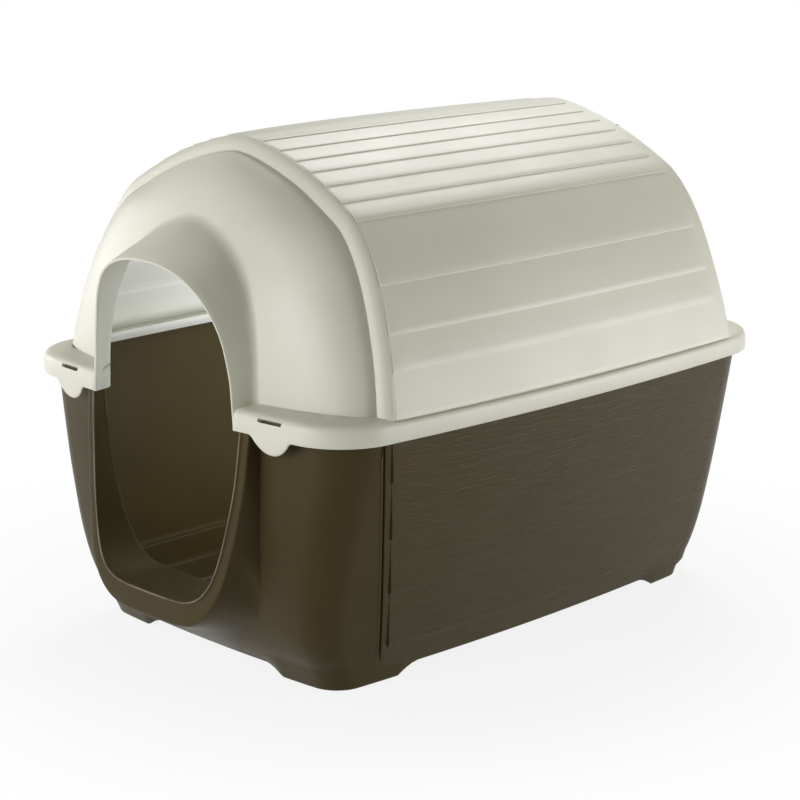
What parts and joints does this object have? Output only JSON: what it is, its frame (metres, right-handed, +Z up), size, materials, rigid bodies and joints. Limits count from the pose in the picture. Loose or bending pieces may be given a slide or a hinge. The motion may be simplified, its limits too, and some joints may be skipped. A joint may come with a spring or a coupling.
{
  "type": "plastic dog house",
  "caption": "Outdoor plastic dog house: tapered base tub with a collared doorway, lift-off hooded barrel roof moulded as lapped boards, sliding ventilator shutter and pull-out floor drain plug.",
  "frame": {"origin": "middle of the footprint at ground level, under the feet", "axes": "+Z up, the doorway faces -Y, +X to the right when looking in the direction +Y"},
  "size_m": [0.7, 0.9384, 0.714],
  "materials": {
    "base_plastic": "dark taupe polypropylene with a faint moulded grain",
    "roof_plastic": "warm grey-green polypropylene with a faint moulded grain",
    "vent_plastic": "black satin plastic",
    "plug_rubber": "black soft plug"
  },
  "bodies": {
    "base": {"base_shell": "base_plastic"},
    "roof": {"roof_shell": "roof_plastic", "vent_grille": "vent_plastic"},
    "shutter": {"vent_shutter": "vent_plastic"},
    "plug": {"drain_plug": "plug_rubber"}
  },
  "joints": [
    {"name": "roof_lift", "type": "slide", "parent": "base", "child": "roof", "axis": [0, 0, 1], "range_m": [0, 0.4]},
    {"name": "shutter_slide", "type": "slide", "parent": "roof", "child": "shutter", "axis": [1, 0, 0], "range_m": [0, 0.011]},
    {"name": "plug_pull", "type": "slide", "parent": "base", "child": "plug", "axis": [0, 0, 1], "range_m": [0, 0.05]}
  ]
}
